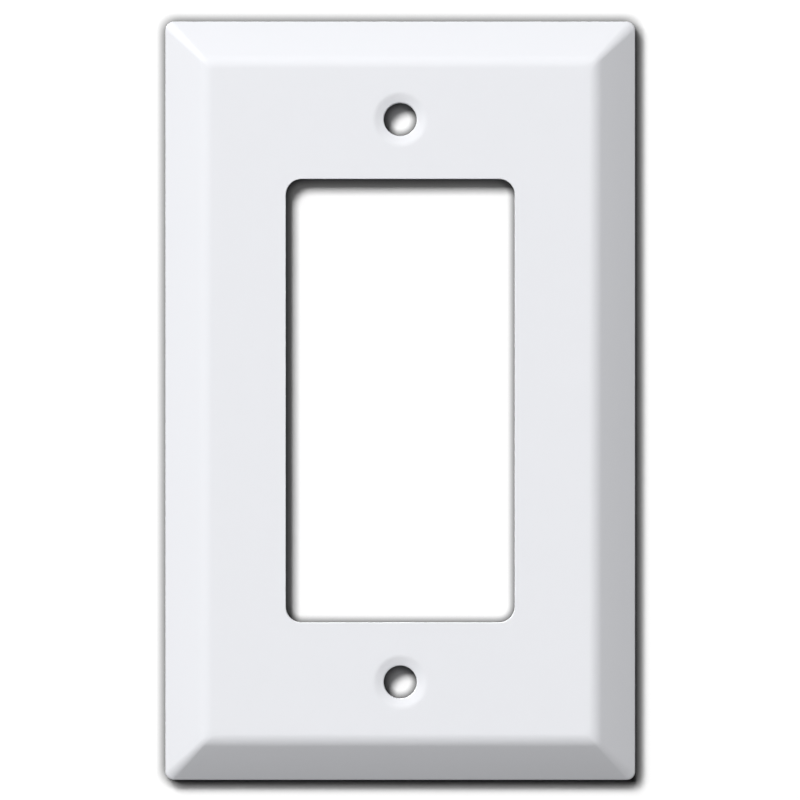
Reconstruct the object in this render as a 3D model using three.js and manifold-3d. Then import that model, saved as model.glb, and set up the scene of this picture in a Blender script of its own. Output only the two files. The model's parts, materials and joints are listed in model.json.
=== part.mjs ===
// A single-gang wall plate cover for a tall rocker or decorator-style device: one moulding, with four mitred
// bevels round a flat face, a rounded window, two dished screw holes, and a hollow back that is stiffened by a
// collar round the window, a boss behind each screw hole and a few ribs.
//
// The plate is drawn lying on its back: x to the right, y up the wall, z out of the wall, with the origin on the
// wall plane at the middle of the window. The last lines stand it up, so that z of the drawing faces -Y.
// All sizes are in millimetres.

import * as THREE from 'three';
import { mergeVertices } from 'three/addons/utils/BufferGeometryUtils.js';
import Module from 'manifold-3d';

const wasm = await Module();
wasm.setup();

// Driving dimensions.
const PLATE_WIDTH = 70.8;
const PLATE_HEIGHT = 114.3;
const PLATE_DEPTH = 6.3;
const RIM_HEIGHT = 2.0; // the straight edge, from the wall to where the bevel starts
const BEVEL_WIDTH = 5.95; // seen from the front
const WINDOW_WIDTH = 34.5;
const WINDOW_HEIGHT = 66.8;
const SCREW_SPACING = 84.7;
const SCREW_HOLE_RADIUS = 2.5;
const WALL = 2.0; // the moulding's thickness in its face, bevels and rim

// Rounded corners and edges.
const RIM_CORNER_RADIUS = 1.3;
const FACE_CORNER_RADIUS = 0.7;
const HOLLOW_CORNER_RADIUS = 0.5;
const WINDOW_CORNER_RADIUS = 2.4;
const RIM_EDGE_RADIUS = 0.35;
const FACE_BLEND_RADIUS = 3.5;

// The dish that each screw head sinks into.
const DISH_RADIUS = 4.3;
const DISH_DEPTH = 0.35;
const DISH_BLEND = 0.4; // the share of the way in over which the face curves down into the dish's cone

// The back.
const STRAP_CLEARANCE = 1.5; // the collar and the bosses stop this far in front of the wall
const COLLAR_WALL = 1.4;
const BOSS_RADIUS = 5.2;
const RIB_WIDTH = 1.2;
const RIB_HEIGHT = 1.6;

// Fineness, in straight pieces.
const CORNER_STEPS = 3; // an arc is drawn in twice as many
const BLEND_STEPS = 5;
const EDGE_STEPS = 2;
const DISH_STEPS = 6;
const ROUND_STEPS = 48;

// How far a cutter runs past what it cuts, and a rib into what it joins.
const OVERCUT = 1;
const OVERLAP = 0.4;

// Worked out from the sizes above.
const CEILING = PLATE_DEPTH - WALL; // height of the hollow's flat ceiling
const BEVEL_SLOPE = (PLATE_DEPTH - RIM_HEIGHT) / BEVEL_WIDTH;
const BEVEL_ANGLE = Math.atan(BEVEL_SLOPE);
const COLLAR_WIDTH = WINDOW_WIDTH + 2 * COLLAR_WALL;
const COLLAR_HEIGHT = WINDOW_HEIGHT + 2 * COLLAR_WALL;
const SCREW_HEIGHTS = [-SCREW_SPACING / 2, SCREW_SPACING / 2];

// A closed geometry as a solid that can be cut and joined.
function solidOf(geometry) {
  const bare = geometry.clone();
  bare.deleteAttribute('normal');
  bare.deleteAttribute('uv');
  const merged = mergeVertices(bare);
  return new wasm.Manifold(new wasm.Mesh({
    numProp: 3,
    vertProperties: merged.getAttribute('position').array,
    triVerts: new Uint32Array(merged.index.array),
  }));
}

// A solid as a flat-shaded geometry.
function geometryOf(solid) {
  const { vertProperties, triVerts } = solid.getMesh();
  const geometry = new THREE.BufferGeometry();
  geometry.setAttribute('position', new THREE.BufferAttribute(vertProperties, 3));
  geometry.setIndex(new THREE.BufferAttribute(triVerts, 1));
  geometry.computeVertexNormals();
  return geometry;
}

// A rounded rectangle about the origin, anticlockwise.
function roundedRectangle(width, height, radius) {
  const shape = new THREE.Shape();
  const x = width / 2 - radius;
  const y = height / 2 - radius;
  const corners = [[x, y], [-x, y], [-x, -y], [x, -y]];
  corners.forEach(([cornerX, cornerY], quarter) => {
    const start = quarter * Math.PI / 2;
    shape.absarc(cornerX, cornerY, radius, start, start + Math.PI / 2);
  });
  return shape;
}

// A rounded rectangle drawn up from one height to another.
function roundedBlock(width, height, radius, from, to) {
  const shape = roundedRectangle(width, height, radius);
  const geometry = new THREE.ExtrudeGeometry(shape, {
    depth: to - from,
    bevelEnabled: false,
    curveSegments: 2 * CORNER_STEPS,
  });
  return solidOf(geometry.translate(0, 0, from));
}

// A profile in (radius, height) turned about a line through a screw hole.
function turned(profile, y) {
  const geometry = new THREE.LatheGeometry(profile, ROUND_STEPS);
  return solidOf(geometry.rotateX(Math.PI / 2).translate(0, y, 0));
}

// A round bar about a screw hole's axis.
function roundBar(radius, y, from, to) {
  const profile = [[0, from], [radius, from], [radius, to], [0, to]];
  return turned(profile.map(([r, h]) => new THREE.Vector2(r, h)), y);
}

// The points of an arc that rounds off the corner between two straight lines.
function roundedCorner(before, corner, after, radius, steps) {
  const back = before.clone().sub(corner).normalize();
  const ahead = after.clone().sub(corner).normalize();
  const half = Math.acos(back.dot(ahead)) / 2;
  const middle = back.clone().add(ahead).normalize();
  const centre = corner.clone().addScaledVector(middle, radius / Math.sin(half));
  const reach = radius / Math.tan(half);
  const start = corner.clone().addScaledVector(back, reach).sub(centre).angle();
  const end = corner.clone().addScaledVector(ahead, reach).sub(centre).angle();
  const arc = new THREE.EllipseCurve(centre.x, centre.y, radius, radius, start, end, end < start);
  return arc.getPoints(steps);
}

// The plate's outline stepped inwards and upwards: each point of the profile is (inset from the outer edge,
// height above the wall), and the corners' radius goes evenly from one value at the rim to another at the face.
function steppedOutline(profile, rimRadius, faceRadius) {
  const rings = profile.map(({ x: inset, y: height }) => {
    const share = Math.min(Math.max(inset / BEVEL_WIDTH, 0), 1);
    const radius = THREE.MathUtils.lerp(rimRadius, faceRadius, share);
    const outline = roundedRectangle(PLATE_WIDTH - 2 * inset, PLATE_HEIGHT - 2 * inset, radius);
    return outline.getPoints(CORNER_STEPS).map(({ x, y }) => [x, y, height]);
  });
  const around = rings[0].length;
  const bottom = rings.length * around;
  const top = bottom + 1;
  const positions = [...rings.flat(), [0, 0, profile.at(0).y], [0, 0, profile.at(-1).y]];
  const index = [];
  for (let i = 0; i < around; i++) {
    const next = (i + 1) % around;
    for (let ring = 0; ring < rings.length - 1; ring++) {
      const low = ring * around;
      const high = low + around;
      index.push(low + i, low + next, high + next);
      index.push(low + i, high + next, high + i);
    }
    const last = bottom - around;
    index.push(bottom, next, i);
    index.push(top, last + i, last + next);
  }
  const geometry = new THREE.BufferGeometry();
  geometry.setAttribute('position', new THREE.Float32BufferAttribute(positions.flat(), 3));
  geometry.setIndex(index);
  return solidOf(geometry);
}

// The outside: a straight rim, a rounded edge, the bevel, and a soft blend into the flat face.
function outerForm() {
  const foot = new THREE.Vector2(0, 0);
  const rimEdge = new THREE.Vector2(0, RIM_HEIGHT);
  const faceEdge = new THREE.Vector2(BEVEL_WIDTH, PLATE_DEPTH);
  const face = new THREE.Vector2(2 * BEVEL_WIDTH, PLATE_DEPTH);
  const profile = [
    foot,
    ...roundedCorner(foot, rimEdge, faceEdge, RIM_EDGE_RADIUS, EDGE_STEPS),
    ...roundedCorner(rimEdge, faceEdge, face, FACE_BLEND_RADIUS, BLEND_STEPS),
  ];
  return steppedOutline(profile, RIM_CORNER_RADIUS, FACE_CORNER_RADIUS);
}

// How far in from the plate's edge the inside of the bevel is, at a height.
function hollowInset(height) {
  return WALL / Math.sin(BEVEL_ANGLE) + (height - RIM_HEIGHT) / BEVEL_SLOPE;
}

// The hollow of the back: straight inside the rim, then sloped along the bevel up to a flat ceiling.
function hollow() {
  const knee = RIM_HEIGHT + (WALL - WALL / Math.sin(BEVEL_ANGLE)) * BEVEL_SLOPE;
  const profile = [
    new THREE.Vector2(WALL, -OVERCUT),
    new THREE.Vector2(WALL, knee),
    new THREE.Vector2(hollowInset(CEILING), CEILING),
  ];
  return steppedOutline(profile, HOLLOW_CORNER_RADIUS, HOLLOW_CORNER_RADIUS);
}

// The collar that frames the window behind the face.
function windowCollar() {
  const radius = WINDOW_CORNER_RADIUS + COLLAR_WALL;
  return roundedBlock(COLLAR_WIDTH, COLLAR_HEIGHT, radius, STRAP_CLEARANCE, CEILING + OVERLAP);
}

// The bosses behind the screw holes.
function screwBosses() {
  return SCREW_HEIGHTS.map((y) => roundBar(BOSS_RADIUS, y, STRAP_CLEARANCE, CEILING + OVERLAP));
}

// A rib under the ceiling, between two corners of its plan.
function rib(x1, y1, x2, y2) {
  const height = RIB_HEIGHT + OVERLAP;
  const geometry = new THREE.BoxGeometry(Math.abs(x2 - x1), Math.abs(y2 - y1), height);
  const middle = CEILING - RIB_HEIGHT + height / 2;
  return solidOf(geometry.translate((x1 + x2) / 2, (y1 + y2) / 2, middle));
}

// Two ribs across the hollow on each side of the collar, and one each side of each boss.
function ribs() {
  const made = [];
  const wallInset = hollowInset(CEILING - RIB_HEIGHT) - OVERLAP;
  const ribHalf = RIB_WIDTH / 2;
  for (const side of [-1, 1]) {
    const collarX = side * (COLLAR_WIDTH / 2 - OVERLAP);
    const wallX = side * (PLATE_WIDTH / 2 - wallInset);
    for (const y of [-COLLAR_HEIGHT / 6, COLLAR_HEIGHT / 6]) {
      made.push(rib(collarX, y - ribHalf, wallX, y + ribHalf));
    }
    const collarY = side * (COLLAR_HEIGHT / 2 - OVERLAP);
    const wallY = side * (PLATE_HEIGHT / 2 - wallInset);
    made.push(rib(-ribHalf, collarY, ribHalf, wallY));
  }
  return made;
}

// The rocker window, through the face and its collar.
function rockerWindow() {
  return roundedBlock(WINDOW_WIDTH, WINDOW_HEIGHT, WINDOW_CORNER_RADIUS, -OVERCUT, PLATE_DEPTH + OVERCUT);
}

// How far a dish is below the face, at a share of the way in from its edge to the hole.
function dishDrop(share) {
  const cone = DISH_DEPTH / (1 - DISH_BLEND / 2);
  if (share < DISH_BLEND) {
    return (cone * share ** 2) / (2 * DISH_BLEND);
  }
  return cone * (share - DISH_BLEND / 2);
}

// A screw hole with its dish: the face curves down into a shallow cone that runs to the hole.
function screwHole(y) {
  const mouth = [];
  for (let step = 0; step <= DISH_STEPS; step++) {
    const share = step / DISH_STEPS;
    const radius = THREE.MathUtils.lerp(SCREW_HOLE_RADIUS, DISH_RADIUS, share);
    mouth.push(new THREE.Vector2(radius, PLATE_DEPTH - dishDrop(1 - share)));
  }
  const above = PLATE_DEPTH + OVERCUT;
  const profile = [
    new THREE.Vector2(0, -OVERCUT),
    new THREE.Vector2(SCREW_HOLE_RADIUS, -OVERCUT),
    ...mouth,
    new THREE.Vector2(DISH_RADIUS, above),
    new THREE.Vector2(0, above),
  ];
  return turned(profile, y);
}

function wallPlateGeometry() {
  let plate = outerForm().subtract(hollow());
  for (const piece of [windowCollar(), ...screwBosses(), ...ribs()]) {
    plate = plate.add(piece);
  }
  for (const cutter of [rockerWindow(), ...SCREW_HEIGHTS.map(screwHole)]) {
    plate = plate.subtract(cutter);
  }
  return geometryOf(plate);
}

const whitePlastic = new THREE.MeshStandardMaterial({
  name: 'white_gloss_plastic',
  color: 0xeeeff2,
  roughness: 0.28,
  metalness: 0,
  flatShading: true,
});

const wallPlate = new THREE.Mesh(wallPlateGeometry(), whitePlastic);
wallPlate.name = 'wall_plate';

// Stood up against the wall: the front faces -Y and the top is +Z.
const wallPlateCover = new THREE.Group();
wallPlateCover.rotation.x = Math.PI / 2;
wallPlateCover.add(wallPlate);

export default wallPlateCover;
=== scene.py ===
"""The looks of a wall plate cover: a one-gang plate for a rocker-style device, in soft gloss white
plastic, seen square on against a white wall. The plate is rebuilt as one closed, finely rounded mesh
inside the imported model's box."""

import json
import math

import bmesh
import bpy
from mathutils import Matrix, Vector
from mathutils.geometry import delaunay_2d_cdt

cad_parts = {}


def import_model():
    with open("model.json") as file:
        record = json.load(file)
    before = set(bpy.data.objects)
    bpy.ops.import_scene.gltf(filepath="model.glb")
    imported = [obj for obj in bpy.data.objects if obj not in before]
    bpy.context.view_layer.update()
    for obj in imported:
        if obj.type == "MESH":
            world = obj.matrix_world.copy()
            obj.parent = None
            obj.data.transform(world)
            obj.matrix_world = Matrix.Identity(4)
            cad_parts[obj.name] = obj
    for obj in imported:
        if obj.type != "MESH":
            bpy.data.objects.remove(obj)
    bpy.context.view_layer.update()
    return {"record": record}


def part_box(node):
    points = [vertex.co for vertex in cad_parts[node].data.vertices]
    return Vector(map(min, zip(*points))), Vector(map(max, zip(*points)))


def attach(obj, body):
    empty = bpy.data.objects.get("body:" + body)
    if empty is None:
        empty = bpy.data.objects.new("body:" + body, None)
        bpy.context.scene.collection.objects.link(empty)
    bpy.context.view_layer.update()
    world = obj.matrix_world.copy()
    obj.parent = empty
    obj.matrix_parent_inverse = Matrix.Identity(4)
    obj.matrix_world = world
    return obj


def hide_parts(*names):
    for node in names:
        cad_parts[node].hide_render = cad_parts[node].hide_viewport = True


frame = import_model()

MM = 0.001

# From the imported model: the plate's box, the height of the screws, and where its bosses stop.
plate_low, plate_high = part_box("wall_plate")
HALF_WIDTH = (plate_high.x - plate_low.x) / 2
HALF_HEIGHT = (plate_high.z - plate_low.z) / 2
DEPTH = plate_high.y - plate_low.y
strap_seat = {m["name"]: m["pos_m"] for m in frame["record"]["mounts"]}["strap_seat_top"]
SCREW_HEIGHT = strap_seat[2]
STRAP_CLEARANCE = -strap_seat[1]

# The moulding's own sizes.
RIM_HEIGHT = 2.0 * MM
BEVEL_WIDTH = 5.95 * MM
BEVEL_SLOPE = (DEPTH - RIM_HEIGHT) / BEVEL_WIDTH  # its rise over its run
WALL = 2.0 * MM
CEILING = DEPTH - WALL
HALF_WINDOW_WIDTH = 17.25 * MM
HALF_WINDOW_HEIGHT = 33.4 * MM
WINDOW_CORNER = 2.4 * MM
COLLAR_WALL = 1.4 * MM
HOLE_RADIUS = 2.5 * MM
DISH_RADIUS = 4.3 * MM
DISH_DEPTH = 0.35 * MM
DISH_BLEND = 0.4  # the share of the way in over which the face curves down into the dish's cone
BOSS_RADIUS = 5.2 * MM
RIB_WIDTH = 1.2 * MM
RIB_HEIGHT = 1.6 * MM
RIB_SUNK = WALL / 4  # how far a rib runs into what it joins

# Corner radii in plan.
RIM_CORNER = 1.3 * MM
FACE_CORNER = 0.7 * MM
HOLLOW_CORNER = 0.5 * MM

# Edge radii in section.
RIM_EDGE = 0.35 * MM
FACE_BLEND = 3.5 * MM
BACK_EDGE = 0.2 * MM
WINDOW_EDGE = 0.05 * MM
LIP_EDGE = 0.2 * MM
ROOT = 0.45 * MM

# Round marks that the mould's ejector pins leave in the ceiling of the hollow.
PIN_RADIUS = 1.7 * MM
PIN_DEPTH = 0.12 * MM

# How finely curves are drawn.
CORNER_STEPS = 16
BLEND_STEPS = 16
EDGE_STEPS = 6
DISH_STEPS = 24
ROUND_STEPS = 96
RIB_EDGE_STEPS = 4
SUPPORT = 0.08 * MM  # a ring this far inside a flat stretch keeps its shading flat
ONWARD = 1 * MM  # a profile's end point, which only gives a direction, is this far along
SAME_POINT = 1e-6  # in millimetres, for the flat fills
SHARP_ANGLE = math.radians(35)  # edges bent by more than this aren't shaded smooth

# The view: its height over the plate's, and how far right and down of its middle the plate sits.
VIEW_MARGIN = 1.0547
VIEW_RIGHT = 0.04 * MM
VIEW_DOWN = 0.12 * MM
LENS = 1000  # millimetres, as is the sensor's width
SENSOR_WIDTH = 36
FURTHEST_SEEN = 30

# The stage: a wall just behind the plate, a panel just behind its window, and a floor.
HALF_BACKDROP = 120 * MM
WALL_GAP = 0.2 * MM
PANEL_GAP = 0.1 * MM
FLOOR_LEVEL = -0.3
HALF_FLOOR = 3.0
FLOOR_GREY = 0.82
WALL_GREY = 0.2  # low, under bright lamps, so that light off the plate hardly fills the shadows
WALL_SHADE = 1.6 * MM  # how far the painted shade close to the plate reaches
PANEL_SHADE = 1.2 * MM
SHADE_POWER = 2
SHADE_SAMPLES = 16
LAMP_DISTANCE = 5.0

# The plastic.
PLASTIC_IOR = 1.5
FRONT_SPECULAR = 0.3  # under the usual 0.5: the face shows no sharp highlights
NOISE_LOW = 0.3  # most of a noise texture lies between these two
NOISE_HIGH = 0.7

FRONT_SLOT = 0
BACK_SLOT = 1


# ---------------------------------------------------------------- outlines and profiles


def rounded_rectangle(half_width, half_height, radius):
    """Points (x, z) of a rounded rectangle about the plate's middle, anticlockwise from the front."""
    points = []
    corners = ((1, 1), (-1, 1), (-1, -1), (1, -1))
    for quarter, (side, end) in enumerate(corners):
        for step in range(CORNER_STEPS + 1):
            angle = (quarter + step / CORNER_STEPS) * math.pi / 2
            x = side * (half_width - radius) + radius * math.cos(angle)
            z = end * (half_height - radius) + radius * math.sin(angle)
            points.append((x, z))
    return points


def circle(radius, centre):
    """Points (x, z) of a circle, anticlockwise from the front."""
    turns = (2 * math.pi * step / ROUND_STEPS for step in range(ROUND_STEPS))
    return [(centre[0] + radius * math.cos(t), centre[1] + radius * math.sin(t)) for t in turns]


def rounded_profile(corners):
    """A path through (across, height, radius) corners. A corner with a radius is rounded by an arc."""
    path = []
    for i, (across, height, radius) in enumerate(corners):
        corner = Vector((across, height))
        if radius == 0 or i in (0, len(corners) - 1):
            path.append(corner)
            continue
        back = (Vector(corners[i - 1][:2]) - corner).normalized()
        ahead = (Vector(corners[i + 1][:2]) - corner).normalized()
        half = back.angle(ahead) / 2
        start = corner + back * (radius / math.tan(half))
        end = corner + ahead * (radius / math.tan(half))
        centre = corner + (back + ahead).normalized() * (radius / math.sin(half))
        first, last = (math.atan2(*(point - centre).yx) for point in (start, end))
        sweep = math.remainder(last - first, 2 * math.pi)
        count = BLEND_STEPS if radius == FACE_BLEND else EDGE_STEPS
        for step in range(count + 1):
            angle = first + sweep * step / count
            path.append(centre + radius * Vector((math.cos(angle), math.sin(angle))))
    return path


# ---------------------------------------------------------------- mesh building


def ring(mesh, outline, height):
    """A ring of vertices along an outline, at a height above the wall."""
    return [mesh.verts.new((x, -height, z)) for x, z in outline]


def strip(mesh, first, second, slot):
    """Faces between two rings of as many points. If the second is the inner one, they look forwards."""
    count = len(first)
    for i in range(count):
        j = (i + 1) % count
        face = mesh.faces.new((first[i], first[j], second[j], second[i]))
        face.material_index = slot


def strips(mesh, rings, slot):
    for first, second in zip(rings, rings[1:]):
        strip(mesh, first, second, slot)


def inside(point, outline):
    """True if a point is inside a closed outline."""
    x, z = point
    found = False
    for (x1, z1), (x2, z2) in zip(outline, outline[1:] + outline[:1]):
        if (z1 > z) != (z2 > z) and x < x1 + (z - z1) / (z2 - z1) * (x2 - x1):
            found = not found
    return found


def flat_fill(mesh, outer, holes, slot, faces_front):
    """Triangles over the flat area inside the outer ring and outside the holes."""
    loops = [outer, *holes]
    verts = [v for loop in loops for v in loop]
    outlines = [[(v.co.x, v.co.z) for v in loop] for loop in loops]
    edges = []
    for loop in loops:
        first = len(edges)
        edges += [(first + i, first + (i + 1) % len(loop)) for i in range(len(loop))]
    flat = [Vector((v.co.x, v.co.z)) / MM for v in verts]
    made = delaunay_2d_cdt(flat, edges, [], 0, SAME_POINT)
    original = [sources[0] for sources in made[3]]
    for triangle in made[2]:
        corners = [verts[original[i]] for i in triangle]
        middle = sum((v.co for v in corners), Vector()) / 3
        point = (middle.x, middle.z)
        if not inside(point, outlines[0]) or any(inside(point, hole) for hole in outlines[1:]):
            continue
        face = mesh.faces.new(corners if faces_front else corners[::-1])
        face.material_index = slot


# ---------------------------------------------------------------- the plate


def outer_ring(mesh, inset, height):
    """A ring of the plate's outside: its corners tighten from the rim to the face."""
    share = min(inset / BEVEL_WIDTH, 1)
    radius = RIM_CORNER + (FACE_CORNER - RIM_CORNER) * share
    return ring(mesh, rounded_rectangle(HALF_WIDTH - inset, HALF_HEIGHT - inset, radius), height)


def hollow_ring(mesh, inset, height):
    """A ring of the hollow's sides, inset from the plate's edge."""
    radius = HOLLOW_CORNER + inset - WALL
    return ring(mesh, rounded_rectangle(HALF_WIDTH - inset, HALF_HEIGHT - inset, radius), height)


def window_ring(mesh, outset, height):
    """A ring round the window, outset from its wall."""
    half_width = HALF_WINDOW_WIDTH + outset
    half_height = HALF_WINDOW_HEIGHT + outset
    return ring(mesh, rounded_rectangle(half_width, half_height, WINDOW_CORNER + outset), height)


def hollow_inset(height):
    """How far in from the plate's edge the inside of the bevel is, at a height."""
    return WALL / math.sin(math.atan(BEVEL_SLOPE)) + (height - RIM_HEIGHT) / BEVEL_SLOPE


def outside(mesh):
    """The rim, the bevels and their soft blend into the face, from the back edge inwards."""
    profile = rounded_profile([
        (WALL / 2, 0, 0),
        (0, 0, BACK_EDGE),
        (0, RIM_HEIGHT, RIM_EDGE),
        (BEVEL_WIDTH, DEPTH, FACE_BLEND),
        (2 * BEVEL_WIDTH, DEPTH, 0),
    ])
    flat_edge = profile[-2].x + SUPPORT
    profile[-1] = Vector((flat_edge, DEPTH))
    return [outer_ring(mesh, inset, height) for inset, height in profile]


def back_hollow(mesh, rim_ring):
    """The hollow's sides, from the ceiling's edge down to the back of the rim."""
    knee = RIM_HEIGHT + (WALL - hollow_inset(RIM_HEIGHT)) * BEVEL_SLOPE
    edge = hollow_inset(CEILING)
    profile = rounded_profile([
        (edge + 2 * ROOT, CEILING, 0),
        (edge, CEILING, 2 * ROOT),
        (WALL, knee, ROOT),
        (WALL, 0, BACK_EDGE),
        (WALL / 2, 0, 0),
    ])
    profile[0] = Vector((profile[1].x + SUPPORT, CEILING))
    return [hollow_ring(mesh, inset, height) for inset, height in profile[:-1]] + [rim_ring]


def window_frame(mesh):
    """The window's wall and its collar, from the face through to the ceiling behind."""
    profile = rounded_profile([
        (ONWARD, DEPTH, 0),
        (0, DEPTH, WINDOW_EDGE),
        (0, STRAP_CLEARANCE, BACK_EDGE),
        (COLLAR_WALL, STRAP_CLEARANCE, BACK_EDGE),
        (COLLAR_WALL, CEILING, ROOT),
        (COLLAR_WALL + ONWARD, CEILING, 0),
    ])
    profile[0] = Vector((profile[1].x + SUPPORT, DEPTH))
    profile[-1] = Vector((profile[-2].x + SUPPORT, CEILING))
    return [window_ring(mesh, outset, height) for outset, height in profile]


def dish_profile():
    """The dish round a screw hole, from its soft outer edge down its cone to the hole."""
    points = []
    cone = DISH_DEPTH / (1 - DISH_BLEND / 2)
    for step in range(DISH_STEPS + 1):
        share = step / DISH_STEPS
        radius = DISH_RADIUS + (HOLE_RADIUS - DISH_RADIUS) * share
        curve = share ** 2 / (2 * DISH_BLEND) if share < DISH_BLEND else share - DISH_BLEND / 2
        points.append(Vector((radius, DEPTH - cone * curve)))
    return points


def screw_hole(mesh, height):
    """A screw hole with its dish in front and its boss behind, from the face to the ceiling."""
    dish = [point for point in dish_profile() if point.x > HOLE_RADIUS + LIP_EDGE]
    profile = [Vector((DISH_RADIUS + SUPPORT, DEPTH))] + dish[:-1] + rounded_profile([
        (dish[-1].x, dish[-1].y, 0),
        (HOLE_RADIUS, DEPTH - DISH_DEPTH, LIP_EDGE),
        (HOLE_RADIUS, STRAP_CLEARANCE, BACK_EDGE),
        (BOSS_RADIUS, STRAP_CLEARANCE, BACK_EDGE),
        (BOSS_RADIUS, CEILING, ROOT),
        (BOSS_RADIUS + ONWARD, CEILING, 0),
    ])
    profile[-1] = Vector((profile[-2].x + SUPPORT, CEILING))
    return [ring(mesh, circle(radius, (0, height)), level) for radius, level in profile]


def pin_places():
    """Where the ejector pins pushed: along both sides of the window, and level with the screws."""
    collar = HALF_WINDOW_WIDTH + COLLAR_WALL
    beside = (collar + HALF_WIDTH - hollow_inset(CEILING)) / 2
    bay = (HALF_WINDOW_HEIGHT + COLLAR_WALL) * 2 / 3
    levels = (-SCREW_HEIGHT, -bay, 0, bay, SCREW_HEIGHT)
    return [(side * beside, z) for side in (-1, 1) for z in levels]


def pin_mark(mesh, place):
    """One ejector pin's shallow round mark; returns its edge in the ceiling."""
    edge = ring(mesh, circle(PIN_RADIUS, place), CEILING)
    floor = ring(mesh, circle(PIN_RADIUS, place), CEILING + PIN_DEPTH)
    strip(mesh, floor, edge, BACK_SLOT)
    flat_fill(mesh, floor, [], BACK_SLOT, faces_front=False)
    return edge


def rib_box(mesh, x1, z1, x2, z2):
    """A rib with its free edges rounded, sunk into the ceiling and into what it joins."""
    low = CEILING - RIB_HEIGHT
    high = CEILING + RIB_SUNK
    corners = [mesh.verts.new((x, -h, z)) for h in (low, high) for x in (x1, x2) for z in (z1, z2)]
    sides = ((0, 1, 3, 2), (4, 6, 7, 5), (0, 4, 5, 1), (2, 3, 7, 6), (0, 2, 6, 4), (1, 5, 7, 3))
    faces = [mesh.faces.new([corners[i] for i in side]) for side in sides]
    for face in faces:
        face.material_index = BACK_SLOT
    along_x = abs(x2 - x1) > abs(z2 - z1)
    free = []
    for edge in faces[0].edges:
        run = edge.verts[0].co - edge.verts[1].co
        if (abs(run.x) > abs(run.z)) == along_x:
            free.append(edge)
    bmesh.ops.bevel(
        mesh, geom=free, offset=BACK_EDGE, segments=RIB_EDGE_STEPS, profile=0.5, affect="EDGES"
    )


def rib_mesh():
    """Every rib: two from each side of the window's collar, and one above and below each boss."""
    mesh = bmesh.new()
    collar_x = HALF_WINDOW_WIDTH + COLLAR_WALL - RIB_SUNK
    collar_z = HALF_WINDOW_HEIGHT + COLLAR_WALL
    wall_inset = hollow_inset(CEILING - RIB_HEIGHT) - RIB_SUNK
    half = RIB_WIDTH / 2
    for side in (-1, 1):
        x1, x2 = sorted((side * collar_x, side * (HALF_WIDTH - wall_inset)))
        for z in (-collar_z / 3, collar_z / 3):
            rib_box(mesh, x1, z - half, x2, z + half)
        screw = side * SCREW_HEIGHT
        inner = sorted((side * (collar_z - RIB_SUNK), screw - side * (BOSS_RADIUS - RIB_SUNK)))
        outer = sorted((screw + side * (BOSS_RADIUS - RIB_SUNK), side * (HALF_HEIGHT - wall_inset)))
        for z1, z2 in (inner, outer):
            rib_box(mesh, -half, z1, half, z2)
    bmesh.ops.recalc_face_normals(mesh, faces=mesh.faces)
    return mesh


def as_object(mesh, name, materials):
    """A finished bmesh as an object in the scene."""
    data = bpy.data.meshes.new(name)
    mesh.to_mesh(data)
    mesh.free()
    for material in materials:
        data.materials.append(material)
    made = bpy.data.objects.new(name, data)
    bpy.context.scene.collection.objects.link(made)
    return made


def joined(body, addition):
    """The body with another solid joined to it for good."""
    union = body.modifiers.new("join", "BOOLEAN")
    union.operation = "UNION"
    union.solver = "EXACT"
    union.object = addition
    shapes = bpy.context.evaluated_depsgraph_get()
    result = bpy.data.meshes.new_from_object(body.evaluated_get(shapes))
    body.modifiers.clear()
    body.data = result
    bpy.data.objects.remove(addition)
    return body


def wall_plate(materials):
    """The whole plate as one closed mesh, with its front and its hollow back in their own materials."""
    mesh = bmesh.new()
    outer = outside(mesh)
    strips(mesh, outer, FRONT_SLOT)
    hollow = back_hollow(mesh, outer[0])
    strips(mesh, hollow, BACK_SLOT)
    frame_rings = window_frame(mesh)
    strips(mesh, frame_rings, FRONT_SLOT)
    holes = [screw_hole(mesh, height) for height in (-SCREW_HEIGHT, SCREW_HEIGHT)]
    for rings in holes:
        strips(mesh, rings, FRONT_SLOT)
    fronts = [frame_rings[0]] + [rings[0] for rings in holes]
    backs = [frame_rings[-1]] + [rings[-1] for rings in holes]
    backs += [pin_mark(mesh, place) for place in pin_places()]
    flat_fill(mesh, outer[-1], fronts, FRONT_SLOT, faces_front=True)
    flat_fill(mesh, hollow[0], backs, BACK_SLOT, faces_front=False)
    plate = as_object(mesh, "white_wall_plate", materials)
    plate = joined(plate, as_object(rib_mesh(), "ribs", materials))
    plate.data.shade_smooth()
    plate.data.set_sharp_from_angle(angle=SHARP_ANGLE)
    return plate


# ---------------------------------------------------------------- materials


def new_material(name):
    """A node material, with its tree and its shader."""
    material = bpy.data.materials.new(name)
    material.use_nodes = True
    return material, material.node_tree, material.node_tree.nodes["Principled BSDF"]


def noise(tree, size, detail=2.0):
    """Noise whose grains are about this many metres across, on the object's own coordinates."""
    place = tree.nodes.new("ShaderNodeTexCoord")
    texture = tree.nodes.new("ShaderNodeTexNoise")
    texture.inputs["Scale"].default_value = 1 / size
    texture.inputs["Detail"].default_value = detail
    tree.links.new(place.outputs["Object"], texture.inputs["Vector"])
    return texture.outputs["Fac"]


def ranged(tree, value, low, high):
    """Noise spread over a range."""
    spread = tree.nodes.new("ShaderNodeMapRange")
    spread.inputs["From Min"].default_value = NOISE_LOW
    spread.inputs["From Max"].default_value = NOISE_HIGH
    spread.inputs["To Min"].default_value = low
    spread.inputs["To Max"].default_value = high
    tree.links.new(value, spread.inputs["Value"])
    return spread.outputs["Result"]


def blended(tree, value, first, second):
    """A colour between two, by a value from 0 to 1."""
    mix = tree.nodes.new("ShaderNodeMix")
    mix.data_type = "RGBA"
    mix.inputs["A"].default_value = (*first, 1)
    mix.inputs["B"].default_value = (*second, 1)
    tree.links.new(value, mix.inputs["Factor"])
    return mix.outputs["Result"]


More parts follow.
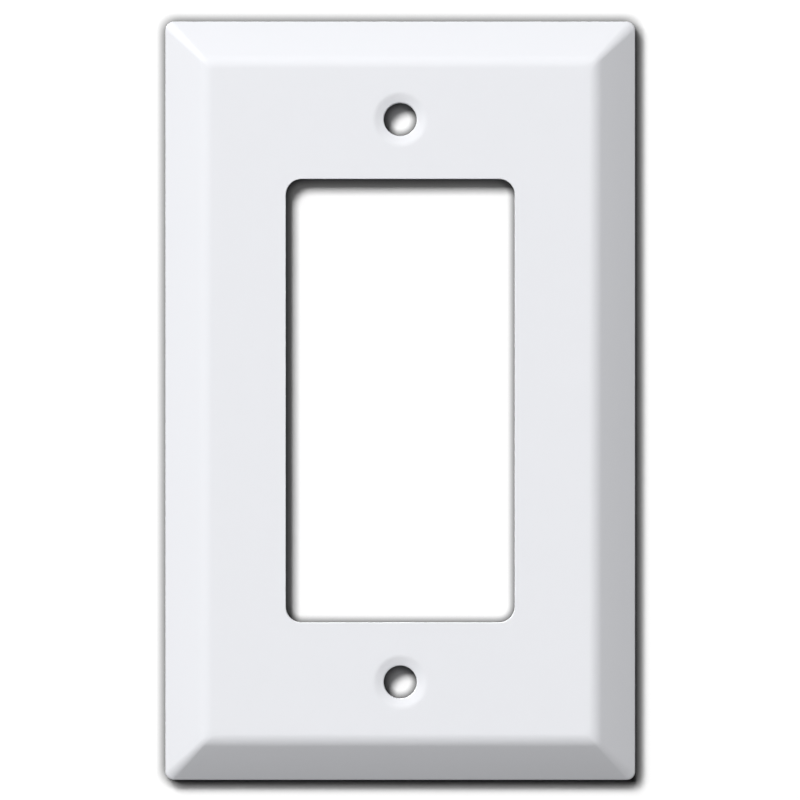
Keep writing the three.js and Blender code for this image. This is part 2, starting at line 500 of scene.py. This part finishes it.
def bumped(tree, value, depth, normal=None):
    """A normal whose surface rises and falls with a value, by this many metres."""
    bump = tree.nodes.new("ShaderNodeBump")
    bump.inputs["Distance"].default_value = depth
    tree.links.new(value, bump.inputs["Height"])
    if normal is not None:
        tree.links.new(normal, bump.inputs["Normal"])
    return bump.outputs["Normal"]


def gloss_front():
    """Soft gloss white moulding: a faint flow mottle, uneven polish and the slightest orange peel."""
    material, tree, shader = new_material("white_gloss_plastic")
    mottle = noise(tree, size=9 * MM)
    colour = blended(tree, mottle, first=(0.772, 0.781, 0.813), second=(0.778, 0.787, 0.819))
    tree.links.new(colour, shader.inputs["Base Color"])
    polish = noise(tree, size=2.5 * MM, detail=4)
    tree.links.new(ranged(tree, polish, low=0.42, high=0.48), shader.inputs["Roughness"])
    peel = bumped(tree, noise(tree, size=1.1 * MM), depth=0.0015 * MM)
    grain = bumped(tree, noise(tree, size=0.25 * MM), depth=0.0003 * MM, normal=peel)
    tree.links.new(grain, shader.inputs["Normal"])
    shader.inputs["IOR"].default_value = PLASTIC_IOR
    shader.inputs["Specular IOR Level"].default_value = FRONT_SPECULAR
    return material


def matt_back():
    """The back, from the sparked half of the mould: matt, with a fine grain."""
    material, tree, shader = new_material("white_matt_plastic")
    mottle = noise(tree, size=6 * MM)
    colour = blended(tree, mottle, first=(0.74, 0.75, 0.765), second=(0.78, 0.785, 0.80))
    tree.links.new(colour, shader.inputs["Base Color"])
    polish = noise(tree, size=1.5 * MM, detail=4)
    tree.links.new(ranged(tree, polish, low=0.48, high=0.62), shader.inputs["Roughness"])
    spark = bumped(tree, noise(tree, size=0.18 * MM, detail=3), depth=0.012 * MM)
    tree.links.new(spark, shader.inputs["Normal"])
    shader.inputs["IOR"].default_value = PLASTIC_IOR
    return material


# ---------------------------------------------------------------- stage, light and camera


def plane(name, corners, material):
    """A flat part of the stage, which casts no shadow, reflection or light on the plate."""
    data = bpy.data.meshes.new(name)
    data.from_pydata(corners, [], [(0, 1, 2, 3)])
    data.materials.append(material)
    made = bpy.data.objects.new(name, data)
    bpy.context.scene.collection.objects.link(made)
    made.visible_diffuse = False
    made.visible_glossy = False
    made.visible_shadow = False
    return made


def white_wall(name, reach):
    """Brightly lit grey paint with painted shade, which darkens it within reach of the plate. It isn't
    seen from behind.
    """
    material, tree, shader = new_material(name)
    shader.inputs["Roughness"].default_value = 1
    shader.inputs["Specular IOR Level"].default_value = 0
    # Painted shade: ambient occlusion, raised to a power, darkens the colour towards black close to the
    # plate, where its shadow would fall.
    corner = tree.nodes.new("ShaderNodeAmbientOcclusion")
    corner.inputs["Distance"].default_value = reach
    corner.samples = SHADE_SAMPLES
    fall = tree.nodes.new("ShaderNodeMath")
    fall.operation = "POWER"
    fall.inputs[1].default_value = SHADE_POWER
    tree.links.new(corner.outputs["AO"], fall.inputs[0])
    shade = blended(tree, fall.outputs["Value"], first=(0, 0, 0), second=(WALL_GREY,) * 3)
    tree.links.new(shade, shader.inputs["Base Color"])
    side = tree.nodes.new("ShaderNodeNewGeometry")
    clear = tree.nodes.new("ShaderNodeBsdfTransparent")
    mix = tree.nodes.new("ShaderNodeMixShader")
    tree.links.new(side.outputs["Backfacing"], mix.inputs["Fac"])
    tree.links.new(shader.outputs["BSDF"], mix.inputs[1])
    tree.links.new(clear.outputs["BSDF"], mix.inputs[2])
    tree.links.new(mix.outputs["Shader"], tree.nodes["Material Output"].inputs["Surface"])
    return material


def pale_floor():
    """Matt pale grey."""
    material, tree, shader = new_material("pale_floor")
    shader.inputs["Base Color"].default_value = (FLOOR_GREY, FLOOR_GREY, FLOOR_GREY, 1)
    shader.inputs["Roughness"].default_value = 1
    shader.inputs["Specular IOR Level"].default_value = 0
    return material


def upright(half_width, half_height, behind):
    """The corners of an upright rectangle about the plate's middle, this far behind the wall plane."""
    across = (-half_width, half_width, half_width, -half_width)
    up = (-half_height, -half_height, half_height, half_height)
    return [(x, behind, z) for x, z in zip(across, up)]


def stage():
    """The wall, a panel just behind the collar and the bosses, and a floor below."""
    square = upright(HALF_BACKDROP, HALF_BACKDROP, WALL_GAP)
    wall = plane("backdrop_wall", square, white_wall("wall_paint_and_painted_shade", WALL_SHADE))
    sunk = WALL + ROOT
    inner = upright(HALF_WIDTH - sunk, HALF_HEIGHT - sunk, PANEL_GAP - STRAP_CLEARANCE)
    panel = plane("backdrop_panel", inner, white_wall("panel_paint_and_painted_shade", PANEL_SHADE))
    corners = ((-1, -1), (1, -1), (1, 1), (-1, 1))
    ground = [(x * HALF_FLOOR, y * HALF_FLOOR, FLOOR_LEVEL) for x, y in corners]
    return wall, panel, plane("floor", ground, pale_floor())


def collection_of(name, objects):
    """A collection that isn't in the scene, to name what a lamp lights."""
    made = bpy.data.collections.new(name)
    for item in objects:
        made.objects.link(item)
    return made


def lamp(name, tilt, turn, spread, power, receivers):
    """A soft square lamp that faces the plate's middle and lights only its receivers. In degrees: its
    tilt from straight ahead, its turn anticlockwise from the right, and the spread of its width."""
    tilt, turn = math.radians(tilt), math.radians(turn)
    aside = math.sin(tilt)
    away = Vector((aside * math.cos(turn), -math.cos(tilt), aside * math.sin(turn)))
    data = bpy.data.lights.new(name, "AREA")
    data.size = 2 * LAMP_DISTANCE * math.tan(math.radians(spread) / 2)
    data.energy = power
    made = bpy.data.objects.new(name, data)
    made.location = away * LAMP_DISTANCE
    made.rotation_euler = (-away).to_track_quat("-Z", "Y").to_euler()
    made.visible_camera = False
    made.light_linking.receiver_collection = receivers
    bpy.context.scene.collection.objects.link(made)


def lights(plate, wall, panel, floor):
    """Soft lamps, the main ones high and to the left. Plate, wall, panel and floor have their own."""
    on_plate = collection_of("lit_plate", [plate])
    lamp("ahead", tilt=0, turn=90, spread=20, power=49, receivers=on_plate)
    lamp("key", tilt=45, turn=130, spread=55, power=370, receivers=on_plate)
    lamp("left", tilt=70, turn=178, spread=35, power=14, receivers=on_plate)
    lamp("right", tilt=75, turn=0, spread=30, power=42, receivers=on_plate)
    lamp("behind", tilt=155, turn=130, spread=40, power=250, receivers=on_plate)
    on_wall = collection_of("lit_wall", [wall])
    lamp("wall_top", tilt=36, turn=100, spread=16, power=345, receivers=on_wall)
    lamp("wall_key_high", tilt=45, turn=124, spread=16, power=815, receivers=on_wall)
    lamp("wall_key_low", tilt=45, turn=148, spread=16, power=385, receivers=on_wall)
    lamp("wall_left", tilt=36, turn=162, spread=16, power=235, receivers=on_wall)
    on_panel = collection_of("lit_panel", [panel])
    lamp("panel_key", tilt=26, turn=128, spread=14, power=1220, receivers=on_panel)
    lamp("panel_wide", tilt=0, turn=90, spread=100, power=550, receivers=on_panel)
    on_floor = collection_of("lit_floor", [floor])
    lamp("floor_key", tilt=89, turn=90, spread=40, power=250, receivers=on_floor)


def world():
    """White to the camera, dark to the plate, so that only the lamps light it."""
    made = bpy.data.worlds.new("studio")
    made.use_nodes = True
    tree = made.node_tree
    seen = tree.nodes.new("ShaderNodeLightPath")
    tree.links.new(seen.outputs["Is Camera Ray"], tree.nodes["Background"].inputs["Strength"])
    tree.nodes["Background"].inputs["Color"].default_value = (1, 1, 1, 1)
    bpy.context.scene.world = made


def camera():
    """Square on, from far enough away that the view is all but parallel."""
    data = bpy.data.cameras.new("camera")
    data.lens = LENS
    data.sensor_width = SENSOR_WIDTH
    across = 2 * HALF_HEIGHT * VIEW_MARGIN
    distance = across * data.lens / data.sensor_width
    made = bpy.data.objects.new("camera", data)
    made.location = (-VIEW_RIGHT, -RIM_HEIGHT - distance, VIEW_DOWN)
    made.rotation_euler = (math.pi / 2, 0, 0)
    data.clip_end = FURTHEST_SEEN
    bpy.context.scene.collection.objects.link(made)
    bpy.context.scene.camera = made


camera()
plate = wall_plate([gloss_front(), matt_back()])
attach(plate, "root")
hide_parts("wall_plate")
wall, panel, floor = stage()
lights(plate, wall, panel, floor)
world()
bpy.context.scene.view_settings.view_transform = "Standard"
